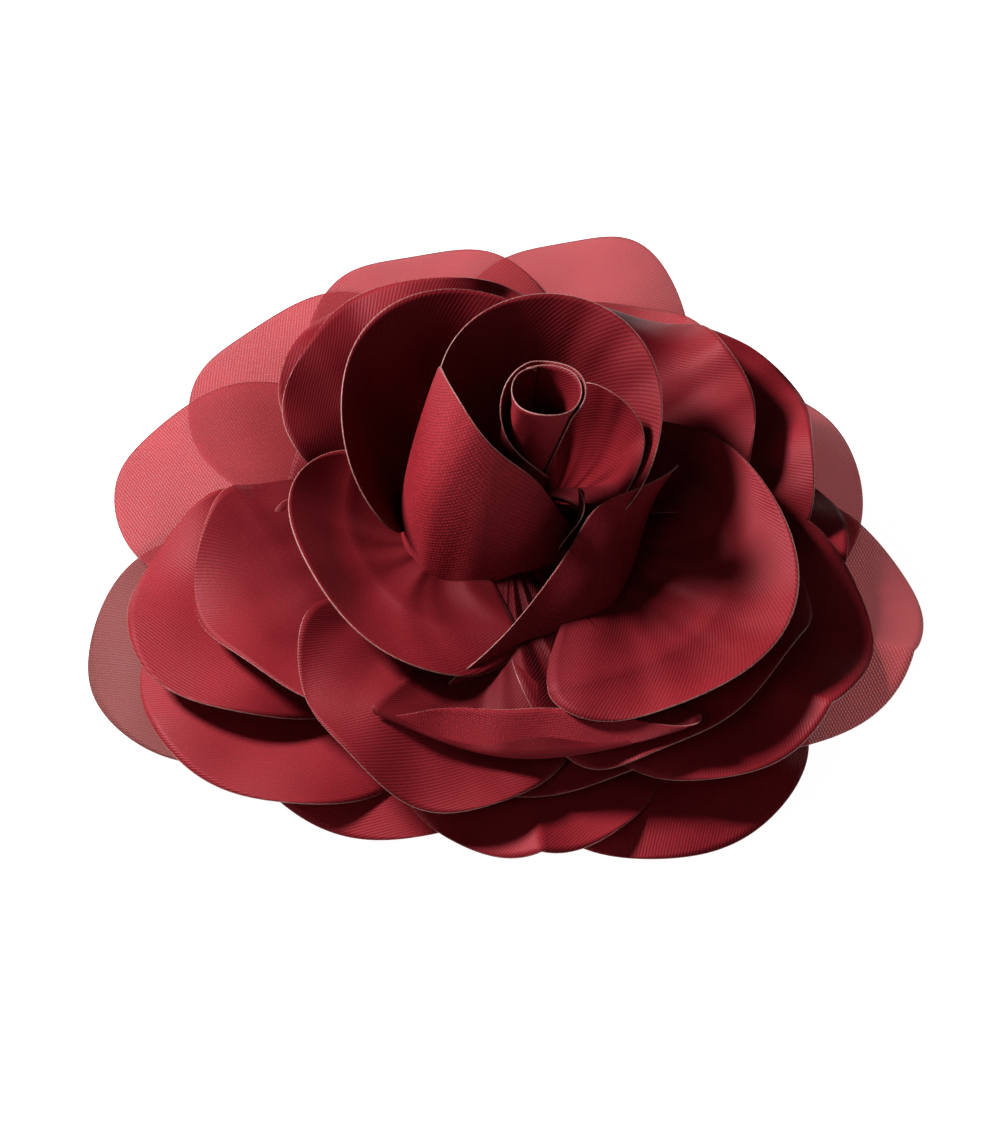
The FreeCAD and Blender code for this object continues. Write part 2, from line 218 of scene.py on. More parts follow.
# The inner petals stand round the bud. angles are where a petal's two sides are; belly and rim each give
# distances and heights at its first side, its middle and its last side. lean is its share of the bud's lean.
# waves are each a size, a number of radians from the middle to the side, and a start in degrees.
WRAP_COMMON = {
    "foot": (3.0, 14.5), "foot_width": 8.0, "widest": 0.66, "lean": 0.0, "waves": [(0.8, 5, 30)], "curl": 1.0,
}
WRAPS = {
    "cup_4": {"angles": (245, 304), "belly": ((38, 39, 41), (11, 9, 12)), "rim": ((38, 37, 43), (22, 17, 24)),
              "foot_width": 24.0, "curl": 0.0},
    "cup_3": {"angles": (166, 274), "belly": ((15, 17, 18), (18, 14, 12)),
              "rim": ((24, 33, 34), (34, 28, 20)), "widest": 0.72, "waves": [(1.3, 4.5, 190)]},
    "cup_5": {"angles": (279, 393), "belly": ((24, 24, 16), (11, 9, 14)),
              "rim": ((45, 41.5, 20), (16, 22, 26)), "widest": 0.74, "waves": [(1.0, 6, 60)]},
    "cup_2": {"angles": (52, 210), "belly": ((13, 15, 14), (22, 21, 21)),
              "rim": ((24, 24.5, 20), (36, 38, 35))},
    "cup_1": {"angles": (328, 515), "belly": ((12, 11.5, 7.5), (22, 24, 26)),
              "rim": ((21, 20.5, 9.5), (34, 41, 43))},
    "heart_1": {"angles": (318, 425), "belly": ((11, 11, 8), (20, 25, 28)),
                "rim": ((14, 14, 10), (25, 35, 41)), "lean": 1.0, "curl": 0.6},
    "heart_2": {"angles": (290, 352), "belly": ((10, 10, 9), (17, 19, 20)),
                "rim": ((14, 11, 8), (23, 29, 29)), "lean": 0.5, "curl": 0.4},
    "heart_3": {"angles": (157, 334), "belly": ((14, 16.5, 14), (25, 15, 12)),
                "rim": ((14, 9, 8), (51, 42, 22)), "lean": 1.0, "curl": 0.3, "widest": 0.88,
                "foot": (3.0, 13.5)},
    "heart_4": {"angles": (257, 358), "belly": ((28, 22, 17), (17, 18, 23)),
                "rim": ((33, 15, 24), (25, 29, 32)), "curl": 0.3, "widest": 0.85},
}
# The bud's foot and top, and how far its top is from above its foot.
BUD_FOOT = 15.0
BUD_TOP = 46.0
BUD_LEAN = (5.3, -2.3)


def leaning(radius, angle, height, lean):
    """Points at a radius, angle and height round the bud's line, which leans by a share of the bud's lean."""
    climb = lean * (height - BUD_FOOT) / (BUD_TOP - BUD_FOOT)
    x = radius * np.cos(angle) + BUD_LEAN[0] * climb
    y = radius * np.sin(angle) + BUD_LEAN[1] * climb
    return np.stack([x, y, height], -1)


def wrap_measures(shape):
    """The length of a standing petal from foot to rim, and half its width round the bud."""
    belly_radius, belly_height = (values[1] for values in shape["belly"])
    rim_radius, rim_height = (values[1] for values in shape["rim"])
    foot_radius, foot_height = shape["foot"]
    length = (math.hypot(belly_radius - foot_radius, belly_height - foot_height)
              + math.hypot(rim_radius - belly_radius, rim_height - belly_height))
    first, last = shape["angles"]
    return length, math.radians(last - first) / 2 * (belly_radius + rim_radius) / 2


def wrap_surface(shape):
    """The middle surface of a petal that stands round the bud: rows and columns of points in millimetres."""
    length, half_width = wrap_measures(shape)
    down, across = flat_grid(length, half_width, shape["foot_width"] / 2, shape["widest"])
    place = down / length
    span = across / half_width
    side = (span + 1) / 2
    foot_radius, foot_height = shape["foot"]
    belly_radius, belly_height = (along(values, side) for values in shape["belly"])
    rim_radius, rim_height = (along(values, side) for values in shape["rim"])
    radius = along((foot_radius, belly_radius, rim_radius), place)
    height = along((foot_height, belly_height, rim_height), place)
    for size, waves, start in shape["waves"]:
        radius = radius + size * place ** 3 * np.cos(waves * span + math.radians(start))
    curled = shape["curl"] * curled_share(rim_share(place, span, shape["widest"]))
    radius = radius + curled
    height = height - CURL_DROP * curled
    first, last = shape["angles"]
    return leaning(radius, np.radians(first + (last - first) * side), height, shape["lean"])


# Two waves run round a lying petal's rim. Each starts at another place on each petal, in degrees.
SLOW_WAVES, SLOW_START = 3, 70
QUICK_WAVES, QUICK_START = 5, 110


def petal_shape(name):
    """All the measures of one petal: its own, over its whorl's, over the common ones."""
    if name in WRAPS:
        return {**WRAP_COMMON, **WRAPS[name]}
    whorl, number = name.rsplit("_", 1)
    slow, quick = WHORLS[whorl]["wave_sizes"]
    waves = [(slow, SLOW_WAVES, SLOW_START * int(number)), (quick, QUICK_WAVES, QUICK_START * int(number))]
    return {**COMMON, "waves": waves, **WHORLS[whorl], **PETALS[name]}


RIM_POINTS = 5


def flat_petal(shape):
    """Each point's place on the flat cloth and distance from its cut edge, and the points of that edge."""
    if "angles" in shape:
        length, half_width = wrap_measures(shape)
    else:
        length, half_width = spine(shape)[0], shape["width"] / 2
    down, across = flat_grid(length, half_width, shape["foot_width"] / 2, shape["widest"])
    flat = np.stack([down, across], -1)
    rim = np.vstack([flat[:, 0], flat[-1], flat[::-1, -1]])
    fine = np.linspace(0, len(rim) - 1, RIM_POINTS * len(rim))
    rim = np.stack([np.interp(fine, range(len(rim)), rim[:, axis]) for axis in range(2)], -1)
    away = np.sqrt(((flat[:, :, None] - rim) ** 2).sum(-1)).min(-1)
    return np.dstack([flat, away]), rim


# ---- one petal lies on another ----
# Heights are kept in square cells over the flower. A rise is spread in steps, and the last steps soften it.
CELL = 1.0
HALF_CELLS = 75
NOTHING_THERE = -1e3
CLEARANCE = 0.55
REST_STEPS = 200
SOFT_STEPS = 10
FINER = 3


def finer(points, times):
    """The same surface with more rows and columns."""
    for axis in (0, 1):
        count = points.shape[axis]
        places = np.linspace(0, count - 1, (count - 1) * times + 1)
        low = np.minimum(places.astype(int), count - 2)
        share = (places - low).reshape((-1, 1, 1) if axis == 0 else (1, -1, 1))
        points = np.take(points, low, axis) * (1 - share) + np.take(points, low + 1, axis) * share
    return points


def cells(points):
    """The cell that each point is over."""
    return tuple(np.clip((points[..., axis] / CELL + HALF_CELLS).round().astype(int), 0, 2 * HALF_CELLS)
                 for axis in (0, 1))


def lie_on(points, heights):
    """Raise a petal where it would sink into what lies under it, and ease the rise into the rest of it."""
    need = np.maximum(heights[cells(points)] + CLEARANCE - points[..., 2], 0)
    rise = need
    for step in range(REST_STEPS + SOFT_STEPS):
        spread = np.pad(rise, 1, mode="edge")
        mean = (spread[:-2, 1:-1] + spread[2:, 1:-1] + spread[1:-1, :-2] + spread[1:-1, 2:]) / 4
        rise = np.maximum(need, mean) if step < REST_STEPS else mean
    points = points.copy()
    points[..., 2] += rise
    return points


def lay_petals():
    """Every petal's surface, each laid on those before it; the hearts stand free round the bud."""
    heights = np.full((2 * HALF_CELLS + 1, 2 * HALF_CELLS + 1), NOTHING_THERE)
    surfaces = {}
    for name in (*PETALS, *WRAPS):
        shape = petal_shape(name)
        points = wrap_surface(shape) if "angles" in shape else petal_surface(shape)
        if not name.startswith("heart"):
            points = lie_on(points, heights)
            fine = finer(points, FINER)
            np.maximum.at(heights, cells(fine), fine[..., 2])
        surfaces[name] = points
    return surfaces


# ---- meshes ----
SAME_POINT = 1e-6


def new_piece(name, mesh, body, materials, replaced=()):
    """A piece of the visual model: riding on a body, and standing for the CAD nodes that it replaces."""
    mesh.shade_smooth()
    piece = bpy.data.objects.new(name, mesh)
    bpy.context.scene.collection.objects.link(piece)
    for material in materials:
        mesh.materials.append(material)
    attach(piece, body)
    if replaced:
        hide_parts(*replaced)
    return piece


def grid_mesh(name, points, round_columns=False):
    """A mesh of quads through rows and columns of points given in millimetres."""
    rows, columns = points.shape[:2]
    corners = np.arange(rows * columns).reshape(rows, columns)
    if round_columns:
        corners = np.hstack([corners, corners[:, :1]])
    quads = np.stack([corners[:-1, :-1], corners[1:, :-1], corners[1:, 1:], corners[:-1, 1:]], -1)
    mesh = bpy.data.meshes.new(name)
    mesh.from_pydata((points.reshape(-1, 3) * MM).tolist(), [], quads.reshape(-1, 4).tolist())
    return mesh


def close_poles(mesh):
    """Join the points that lie on each other, as at the poles of a turned shape."""
    work = bmesh.new()
    work.from_mesh(mesh)
    bmesh.ops.remove_doubles(work, verts=work.verts, dist=SAME_POINT)
    bmesh.ops.recalc_face_normals(work, faces=work.faces)
    work.to_mesh(mesh)
    work.free()


def keep_cloth_places(mesh, places):
    """Keep each point's place on the flat cloth, for the weave, and its distance from the cut edge."""
    attribute = mesh.attributes.new("cloth", "FLOAT_VECTOR", "POINT")
    attribute.data.foreach_set("vector", places.astype(np.float32).ravel())


def thicken(piece, thickness):
    """Give a sheet its thickness; its reverse takes the second material and its cut edge the third."""
    layer = piece.modifiers.new("cloth", "SOLIDIFY")
    layer.thickness = thickness * MM
    layer.offset = 0.0
    layer.material_offset = 1
    layer.material_offset_rim = 2


# ---- materials ----
def add_node(tree, kind, values=None, **settings):
    """A node with its settings, and a number, a colour or another node's output on each input given."""
    node = tree.nodes.new("ShaderNode" + kind)
    for setting, value in settings.items():
        setattr(node, setting, value)
    for socket, value in (values or {}).items():
        if isinstance(value, bpy.types.NodeSocket):
            tree.links.new(value, node.inputs[socket])
        else:
            node.inputs[socket].default_value = value
    return node


def new_material(name):
    """An empty material, with its node tree and its output node."""
    material = bpy.data.materials.new(name)
    material.use_nodes = True
    tree = material.node_tree
    tree.nodes.clear()
    return material, tree, add_node(tree, "OutputMaterial")


def mixed(tree, share, first, second):
    """A colour between two colours."""
    return add_node(tree, "Mix", {0: share, 6: first, 7: second}, data_type="RGBA").outputs[2]


def math_node(tree, operation, *values):
    """A number worked out from others."""
    return add_node(tree, "Math", dict(enumerate(values)), operation=operation).outputs[0]


def vector_math(tree, operation, *values):
    """A vector worked out from others."""
    return add_node(tree, "VectorMath", dict(enumerate(values)), operation=operation).outputs[0]


def stepped(tree, value, low, high, start=0.0, end=1.0):
    """A value between low and high brought to between start and end."""
    return add_node(tree, "MapRange", {0: value, 1: low, 2: high, 3: start, 4: end}).outputs[0]


def scaled(colour, factor):
    """A colour made lighter or darker, with full opacity."""
    return (*(min(channel * factor, 1.0) for channel in colour[:3]), 1.0)


# Lengths here are in millimetres. Painted shade: the face is darkened near the petal's foot, for the flower's
# shadowed centre;
# the cloth was gathered and glued there. The shaded span is where it fades, in distance from the foot plus
# the folds' shift, so it ends unevenly.
# GATHERED_PART is where the folds fade.
EDGE_COLOUR = (0.21, 0.075, 0.065, 1.0)
EDGE_WIDTH = 0.07
PAINTED_SHADE_SPAN = (22.0, 56.0)
FOLD_SHIFT = 28.0
GATHERED_PART = (18.0, 62.0)
FOLD_HEIGHT = 10.0
THREAD_HEIGHT = 0.05
FOLDS_AROUND = (2.6, 2.6, 2.6)
PHASE_PER_METRE = (25.0, 25.0, 25.0)


def thread_lines(tree, flat, scale, direction):
    """Woven lines one way across the cloth."""
    return add_node(tree, "TexWave", {"Vector": flat, "Scale": scale, "Distortion": 0.6, "Detail": 1.0,
                                      "Detail Scale": 0.4}, bands_direction=direction).outputs[1]


def weave_lines(tree, flat, reverse):
    """Ribs on the face; on the reverse, twill crossed by a second set of threads."""
    if not reverse:
        return thread_lines(tree, flat, 1.1, "DIAGONAL")
    twill = thread_lines(tree, flat, 1.6, "DIAGONAL")
    return math_node(tree, "MULTIPLY", twill, thread_lines(tree, flat, 0.85, "X"))


def gathers(tree, flat):
    """Soft folds that fan out from the petal's foot, different in each part of the flower."""
    place = add_node(tree, "TexCoord").outputs["Object"]
    phase = vector_math(tree, "MULTIPLY", place, PHASE_PER_METRE)
    spread = vector_math(tree, "MULTIPLY_ADD", vector_math(tree, "NORMALIZE", flat), FOLDS_AROUND, phase)
    return add_node(tree, "TexNoise", {"Vector": spread, "Scale": 1.0, "Detail": 1.0}).outputs[0]


def weave_colour(tree, colour, lines, blotch, thread, reverse):
    """Uneven dye, darker between the woven lines, with paler threads here and there."""
    dyed = mixed(tree, stepped(tree, blotch, 0.3, 0.7), scaled(colour, 0.86), scaled(colour, 1.12))
    depth = stepped(tree, lines, 0.0, 1.0, 0.75 if reverse else 0.4, 0.0)
    woven = mixed(tree, depth, dyed, scaled(colour, 0.25))
    return mixed(tree, stepped(tree, thread, 0.45, 0.75, 0.0, 0.35), woven, scaled(colour, 1.35))


def cloth_relief(tree, down, folds, lines, thread, reverse):
    """The cloth's normal: soft folds that fade away from the foot, with the threads on top."""
    fading = math_node(tree, "MULTIPLY", folds, stepped(tree, down, *GATHERED_PART, 1.0, 0.15))
    folded = add_node(tree, "Bump", {"Height": fading, "Strength": 0.6,
                                     "Distance": FOLD_HEIGHT * MM}).outputs[0]
    threads = math_node(tree, "MULTIPLY_ADD", thread, 0.6, lines)
    return add_node(tree, "Bump", {"Height": threads, "Strength": 0.8 if reverse else 0.5,
                                   "Distance": THREAD_HEIGHT * MM, "Normal": folded}).outputs[0]


def cloth_material(name, colour, through, clear, colour_kept_in_shade=0.12, edge_colour=EDGE_COLOUR, reverse=False,
                   roughness=0.54):
    """Polyester satin: fine ribs on the face or crossed twill on the reverse, uneven dye, painted shade on
    the face near its foot, a pale sealed edge.

    through is how much light passes as glow, clear how much of what is behind shows through the weave, and
    colour_kept_in_shade how much of the face's colour is left in the painted shade near the foot.
    """
    material, tree, output = new_material(name)
    place = add_node(tree, "Attribute", attribute_name="cloth").outputs["Vector"]
    down, _, from_edge = add_node(tree, "SeparateXYZ", {0: place}).outputs
    flat = vector_math(tree, "MULTIPLY", place, (1.0, -1.0 if reverse else 1.0, 0.0))
    blotch = add_node(tree, "TexNoise", {"Vector": flat, "Scale": 0.09, "Detail": 3.0}).outputs[0]
    thread = add_node(tree, "TexNoise", {"Vector": flat, "Scale": 2.6, "Detail": 1.0}).outputs[0]
    lines = weave_lines(tree, flat, reverse)
    folds = gathers(tree, flat)
    final = weave_colour(tree, colour, lines, blotch, thread, reverse)
    specular = 0.25
    # Painted shade on the face: its colour darkens towards the petal's foot, for the flower's shadowed
    # centre, and its specular is turned down there.
    if not reverse:
        uneven = math_node(tree, "MULTIPLY_ADD", folds, FOLD_SHIFT, down)
        final = mixed(tree, stepped(tree, uneven, *PAINTED_SHADE_SPAN, colour_kept_in_shade, 1.0), scaled(colour, 0.1), final)
        specular = stepped(tree, uneven, *PAINTED_SHADE_SPAN, 0.05, 0.24)
    bead = stepped(tree, thread, 0.3, 0.7, EDGE_WIDTH * 0.6, EDGE_WIDTH * 1.3)
    final = mixed(tree, math_node(tree, "LESS_THAN", from_edge, bead), final, edge_colour)
    surface = add_node(tree, "BsdfPrincipled", {
        "Base Color": final, "Normal": cloth_relief(tree, down, folds, lines, thread, reverse),
        "Roughness": stepped(tree, blotch, 0.3, 0.7, roughness - 0.05, roughness + 0.08),
        "Specular IOR Level": specular, "Specular Tint": (1.0, 0.32, 0.36, 1.0),
        "Sheen Weight": 0.02, "Sheen Roughness": 0.4, "Sheen Tint": (1.0, 0.45, 0.5, 1.0)})
    glow = add_node(tree, "BsdfTranslucent", {"Color": mixed(tree, 0.6, final, scaled(colour, 2.2))})
    cloth = add_node(tree, "MixShader", {0: through, 1: surface.outputs[0], 2: glow.outputs[0]})
    if clear:
        gap = add_node(tree, "BsdfTransparent", {"Color": (1.0, 0.93, 0.93, 1.0)})
        open_weave = stepped(tree, lines, 0.0, 1.0, clear * 0.25, clear * 1.75)
        cloth = add_node(tree, "MixShader", {0: open_weave, 1: cloth.outputs[0], 2: gap.outputs[0]})
    tree.links.new(cloth.outputs[0], output.inputs[0])
    return material


def edge_material():
    """The heat-sealed edge: fused, paler, slightly beaded."""
    material, tree, output = new_material("sealed_edge")
    place = add_node(tree, "TexCoord").outputs["Object"]
    bead = add_node(tree, "TexNoise", {"Vector": place, "Scale": 1800.0, "Detail": 1.0}).outputs[0]
    colour = mixed(tree, stepped(tree, bead, 0.35, 0.65), scaled(EDGE_COLOUR, 0.6), scaled(EDGE_COLOUR, 1.2))
    bump = add_node(tree, "Bump", {"Height": bead, "Strength": 0.6, "Distance": 0.05 * MM}).outputs[0]
    surface = add_node(tree, "BsdfPrincipled", {"Base Color": colour, "Normal": bump, "Roughness": 0.5})
    tree.links.new(surface.outputs[0], output.inputs[0])
    return material


def felt_material():
    """Pressed felt: short tangled fibres."""
    material, tree, output = new_material("pressed_felt")
    place = add_node(tree, "TexCoord").outputs["Object"]
    fibre = add_node(tree, "TexNoise", {"Vector": place, "Scale": 1500.0, "Detail": 4.0,
                                        "Distortion": 1.5}).outputs[0]
    patch = add_node(tree, "TexNoise", {"Vector": place, "Scale": 140.0, "Detail": 2.0}).outputs[0]
    colour = mixed(tree, stepped(tree, fibre, 0.3, 0.7), (0.07, 0.008, 0.012, 1.0), (0.24, 0.03, 0.045, 1.0))
    colour = mixed(tree, stepped(tree, patch, 0.3, 0.7, 0.0, 0.35), colour, (0.16, 0.015, 0.03, 1.0))
    bump = add_node(tree, "Bump", {"Height": fibre, "Strength": 0.9, "Distance": 0.25 * MM}).outputs[0]
    surface = add_node(tree, "BsdfPrincipled", {
        "Base Color": colour, "Normal": bump, "Roughness": 0.95, "Sheen Weight": 0.15, "Sheen Roughness": 0.6,
        "Sheen Tint": (1.0, 0.55, 0.6, 1.0)})
    tree.links.new(surface.outputs[0], output.inputs[0])
    return material


def glue_material():
    """Hot-melt glue: milky, smooth and a little cloudy."""
    material, tree, output = new_material("hot_melt_glue")
    place = add_node(tree, "TexCoord").outputs["Object"]
    cloud = add_node(tree, "TexNoise", {"Vector": place, "Scale": 300.0, "Detail": 3.0}).outputs[0]
    colour = mixed(tree, stepped(tree, cloud, 0.3, 0.7), (0.70, 0.62, 0.50, 1.0), (0.88, 0.84, 0.76, 1.0))
    bump = add_node(tree, "Bump", {"Height": cloud, "Strength": 0.4, "Distance": 0.3 * MM}).outputs[0]
    surface = add_node(tree, "BsdfPrincipled", {
        "Base Color": colour, "Normal": bump, "Roughness": stepped(tree, cloud, 0.3, 0.7, 0.22, 0.4),
        "Coat Weight": 0.2})
    tree.links.new(surface.outputs[0], output.inputs[0])
    return material


def steel_material(name, colour, grain, roughness):
    """Plated or drawn steel: fine lines along the axis with the smallest grain, and faint smudges."""
    material, tree, output = new_material(name)
    place = add_node(tree, "TexCoord").outputs["Object"]
    drawn = vector_math(tree, "MULTIPLY", place, grain)
    lines = add_node(tree, "TexNoise", {"Vector": drawn, "Scale": 1.0, "Detail": 3.0}).outputs[0]
    smudge = add_node(tree, "TexNoise", {"Vector": place, "Scale": 160.0, "Detail": 3.0}).outputs[0]
    tone = mixed(tree, stepped(tree, smudge, 0.35, 0.7), scaled(colour, 0.82), scaled(colour, 1.05))
    tone = mixed(tree, stepped(tree, lines, 0.4, 0.6, 0.0, 0.2), tone, scaled(colour, 0.6))
    bump = add_node(tree, "Bump", {"Height": lines, "Strength": 0.2, "Distance": 0.03 * MM}).outputs[0]
    surface = add_node(tree, "BsdfPrincipled", {
        "Base Color": tone, "Normal": bump, "Metallic": 1.0,
        "Roughness": stepped(tree, smudge, 0.3, 0.7, roughness, roughness + 0.14)})
    tree.links.new(surface.outputs[0], output.inputs[0])
    return material


# ---- petals ----
# The outer petals at the back and sides are a thinner, sheer cloth; outer_3 takes a denser copy that lets
# less through, whose darker colour is painted shade, as that petal lies in shadow.
# Each whorl has its cloth, and how dark its dye is. The cloth's reverse is given a paler colour than its
# face, as painted light that lifts the reverses the lamps leave dark.
CLOTH_THICKNESS = 0.18
THIN_EDGE = (0.24, 0.05, 0.05, 1.0)
SHEER = {"colour": (0.31, 0.042, 0.05), "through": 0.42, "clear": 0.24, "edge_colour": THIN_EDGE}
SATIN = {"colour": (0.175, 0.008, 0.013), "through": 0.05, "clear": 0.0}
# Painted shade: a darker colour for outer_3, which lies in shadow.
DENSE_SHADED = {"colour": (0.15, 0.036, 0.032), "through": 0.30, "clear": 0.16, "edge_colour": THIN_EDGE}
SHEER_PETALS = ("outer_1", "outer_2", "outer_6", "second_1", "second_2", "second_3", "second_6", "third_1")
# The hearts and the bud keep more of their colour in the painted shade near the foot.
WHORL_LOOKS = {
    "outer": (SATIN, 1.0), "second": (SATIN, 1.0), "third": (SATIN, 1.0), "fourth": (SATIN, 0.95),
    "fifth": (SATIN, 0.9), "cup": (SATIN, 0.9), "heart": ({**SATIN, "colour_kept_in_shade": 0.6}, 0.9),
    "bud": ({**SATIN, "colour_kept_in_shade": 0.4}, 0.8),
}
# Painted light: the reverse's colour is the face's made paler, to lift reverses the lamps leave dark.
REVERSE_PALER = 1.6


def cloth_materials(name, look, dye, edge):
    """Face, reverse and edge for one kind of cloth; dye is below 1 in the inner whorls, which are deeper."""
    face = {**look, "colour": scaled(look["colour"], dye)}
    reverse = {**look, "colour": scaled(face["colour"], REVERSE_PALER), "reverse": True, "roughness": 0.6}
    return cloth_material(name + "_face", **face), cloth_material(name + "_reverse", **reverse), edge


def make_petals(edge):
    """Make all 39 petals, each standing for its CAD node."""
    looks = {whorl: cloth_materials(whorl, *look, edge) for whorl, look in WHORL_LOOKS.items()}
    special = dict.fromkeys(SHEER_PETALS, cloth_materials("sheer", SHEER, 1.0, edge))
    special["outer_3"] = cloth_materials("dense_shaded", DENSE_SHADED, 1.0, edge)
    for name, points in lay_petals().items():
        whorl, number = name.rsplit("_", 1)
        shape = petal_shape(name)
        places, rim = flat_petal(shape)
        mesh = grid_mesh("satin_" + name, points)
        keep_cloth_places(mesh, places)
        piece = new_piece("satin_" + name, mesh, "flower",
                          special.get(name, looks[whorl]), [f"{whorl}_petal_{number}"])
        thicken(piece, CLOTH_THICKNESS)


# ---- bud ----
BUD_ROWS = 36
BUD_COLUMN_DEGREES = 8
BUD_ROLLS = {
    "wrap": {"angles": (-30, 334), "radii": (4.8, 5.5), "drop": 17.0, "drop_from": 0.38},
    "core": {"angles": (-255, 120), "radii": (4.0, 4.5), "drop": 0.5, "drop_from": 0.9},
}


def roll_surface(angles, radii, drop, drop_from):
    """A strip rolled into a cone; its upper edge runs level, then comes down towards its free end."""
    columns = int((angles[1] - angles[0]) / BUD_COLUMN_DEGREES)
    share = np.linspace(0, 1, columns)
    angle = np.radians(np.linspace(*angles, columns))
    fall = np.clip((share - drop_from) / (1 - drop_from), 0, 1)
    top = BUD_TOP - drop * fall ** 1.3 + 0.25 * np.sin(3 * angle)
    up = np.linspace(0, 1, BUD_ROWS)[:, None]
    height = BUD_FOOT + (top - BUD_FOOT) * up
    climb = (height - BUD_FOOT) / (BUD_TOP - BUD_FOOT)
    taper = 0.30 + 0.70 * climb ** 0.9 + 0.10 * np.clip(up - 0.9, 0, 1) / 0.1
    radius = (radii[0] + (radii[1] - radii[0]) * share) * taper
    radius = radius * (1 + 0.03 * np.sin(2 * angle + 3 * climb))
    return leaning(radius, angle, height, 1.0)


def make_bud(edge):
    """Make the bud's inner and outer turns."""
    looks = cloth_materials("bud", *WHORL_LOOKS["bud"], edge)
    for part, roll in BUD_ROLLS.items():
        points = roll_surface(**roll)
        rows, columns = points.shape[:2]
        long = np.linalg.norm(np.diff(points[-1], axis=0), axis=1).sum()
        tall = BUD_TOP - BUD_FOOT
        across = np.broadcast_to(np.linspace(0, long, columns), (rows, columns))
        up = np.broadcast_to(np.linspace(0, tall, rows)[:, None], (rows, columns))
        places = np.dstack([up, across, np.minimum(tall - up, np.minimum(across, long - across))])
        mesh = grid_mesh("rolled_" + part, points)
        keep_cloth_places(mesh, places)
        piece = new_piece("rolled_" + part, mesh, "flower", looks, ["bud_" + part])
        thicken(piece, CLOTH_THICKNESS)


# ---- felt, glue, spring and clip ----
AROUND = 96
FELT_RADIUS = 20.0
# Profiles are distances from the flower's axis and heights.
FELT_PROFILE = [(0.0, 7.4), (10.0, 7.4), (18.9, 7.42), (19.7, 7.6), (FELT_RADIUS, 8.1), (19.8, 8.6),
                (19.0, 8.88), (10.0, 8.9), (0.0, 8.9)]
GLUE_PROFILE = [(0.0, 8.9), (5.6, 8.92), (5.3, 9.6), (4.7, 10.6), (4.9, 12.0), (4.3, 13.4), (2.8, 14.4),
                (0.0, 14.8)]


def turned_mesh(name, profile, uneven):
    """A profile turned round the flower's axis, its radius a little uneven, as if cut or squeezed by hand."""
    angle = np.linspace(0, 2 * math.pi, AROUND, endpoint=False)
    wobble = 1 + uneven * (np.sin(3 * angle) + 0.6 * np.sin(7 * angle + 1) + 0.3 * np.sin(13 * angle))
    radius, height = (np.array(side)[:, None] for side in zip(*profile))
    points = np.stack([radius * wobble * np.cos(angle), radius * wobble * np.sin(angle),
                       np.broadcast_to(height, (len(profile), AROUND))], -1)
    mesh = grid_mesh(name, points, round_columns=True)
    close_poles(mesh)
    return mesh


# A direction that no wire or bead here runs along, to set a tube's rings out from.
UNLIKE_ANY_RUN = (0.12, 0.31, 0.94)
TUBE_SIDES = 12


def tube_points(line, radius):
    """A tube round a line of points; radius is one number, or one for each point."""
    along_line = np.gradient(line, axis=0)
    along_line /= np.linalg.norm(along_line, axis=1, keepdims=True)
    side = np.cross(along_line, UNLIKE_ANY_RUN)
    side /= np.linalg.norm(side, axis=1, keepdims=True)
    other = np.cross(along_line, side)
    angle = np.linspace(0, 2 * math.pi, TUBE_SIDES, endpoint=False)[None, :, None]
    ring = side[:, None] * np.cos(angle) + other[:, None] * np.sin(angle)
    return line[:, None] + ring * np.broadcast_to(radius, len(line))[:, None, None]


def tube_mesh(name, line, radius):
    """A tube with its ends closed by drawing the last rings to a point."""
    points = tube_points(line, radius)
    first = np.broadcast_to(line[:1, None], (1, *points.shape[1:]))
    last = np.broadcast_to(line[-1:, None], (1, *points.shape[1:]))
    mesh = grid_mesh(name, np.concatenate([first, points, last]), round_columns=True)
    close_poles(mesh)
    return mesh


# Two beads of glue run along the sides of the upper arm, BEAD_REACH each way from BEAD_MIDDLE.
BEAD_SIDES = (-5.6, 5.6)
BEAD_MIDDLE = -3.0
BEAD_REACH = 15.0
BEAD_HEIGHT = 7.25
BEAD_RADIUS = 0.75
PIN = (8.0, 0.0, 3.7)
COIL_RADIUS = 2.35
COIL_TURNS = 3.5
COIL_HALF_WIDTH = 1.5
LEG_LENGTH = 14.0
LEG_SLOPE = 0.03
WIRE_RADIUS = 0.35


def make_felt_and_glue():
    """Make the felt disc, the glue that holds the petals' feet, and the two beads that hold the clip."""
    felt = new_piece("felt_base", turned_mesh("felt_base", FELT_PROFILE, 0.004), "flower",
                     [felt_material()], ["felt_disc"])
    glue = glue_material()
    core = turned_mesh("hot_glue", GLUE_PROFILE, 0.03)
    new_piece("hot_glue", core, "flower", [glue], ["glue_core"])
    for number, side in enumerate(BEAD_SIDES, 1):
        steps = np.linspace(-1, 1, 60)
        line = np.stack([BEAD_REACH * steps + BEAD_MIDDLE, side + 0.25 * np.sin(9 * steps + number),
                         BEAD_HEIGHT + 0 * steps], 1)
        radius = BEAD_RADIUS * np.sqrt(1 - 0.97 * steps ** 2) * (1 + 0.18 * np.sin(23 * steps + number))
        name = f"glue_bead_{number}"
        new_piece(name, tube_mesh(name, line, radius), "flower", [glue])


def spring_line():
    """The spring's wire: a leg under the upper arm, the coil round the pin, a leg on the lower arm."""
    turn = np.linspace(0, 1, 140)
    angle = math.pi / 2 - turn * 2 * math.pi * COIL_TURNS
    coil = np.stack([PIN[0] + COIL_RADIUS * np.cos(angle), COIL_HALF_WIDTH * (2 * turn - 1),
                     PIN[2] + COIL_RADIUS * np.sin(angle)], 1)
    reach = np.linspace(LEG_LENGTH, 1, 14)[:, None]
    upper = coil[0] + reach * (1, 0, LEG_SLOPE)
    lower = coil[-1] + reach[::-1] * (1, 0, -LEG_SLOPE)
    return np.concatenate([upper, coil, lower])


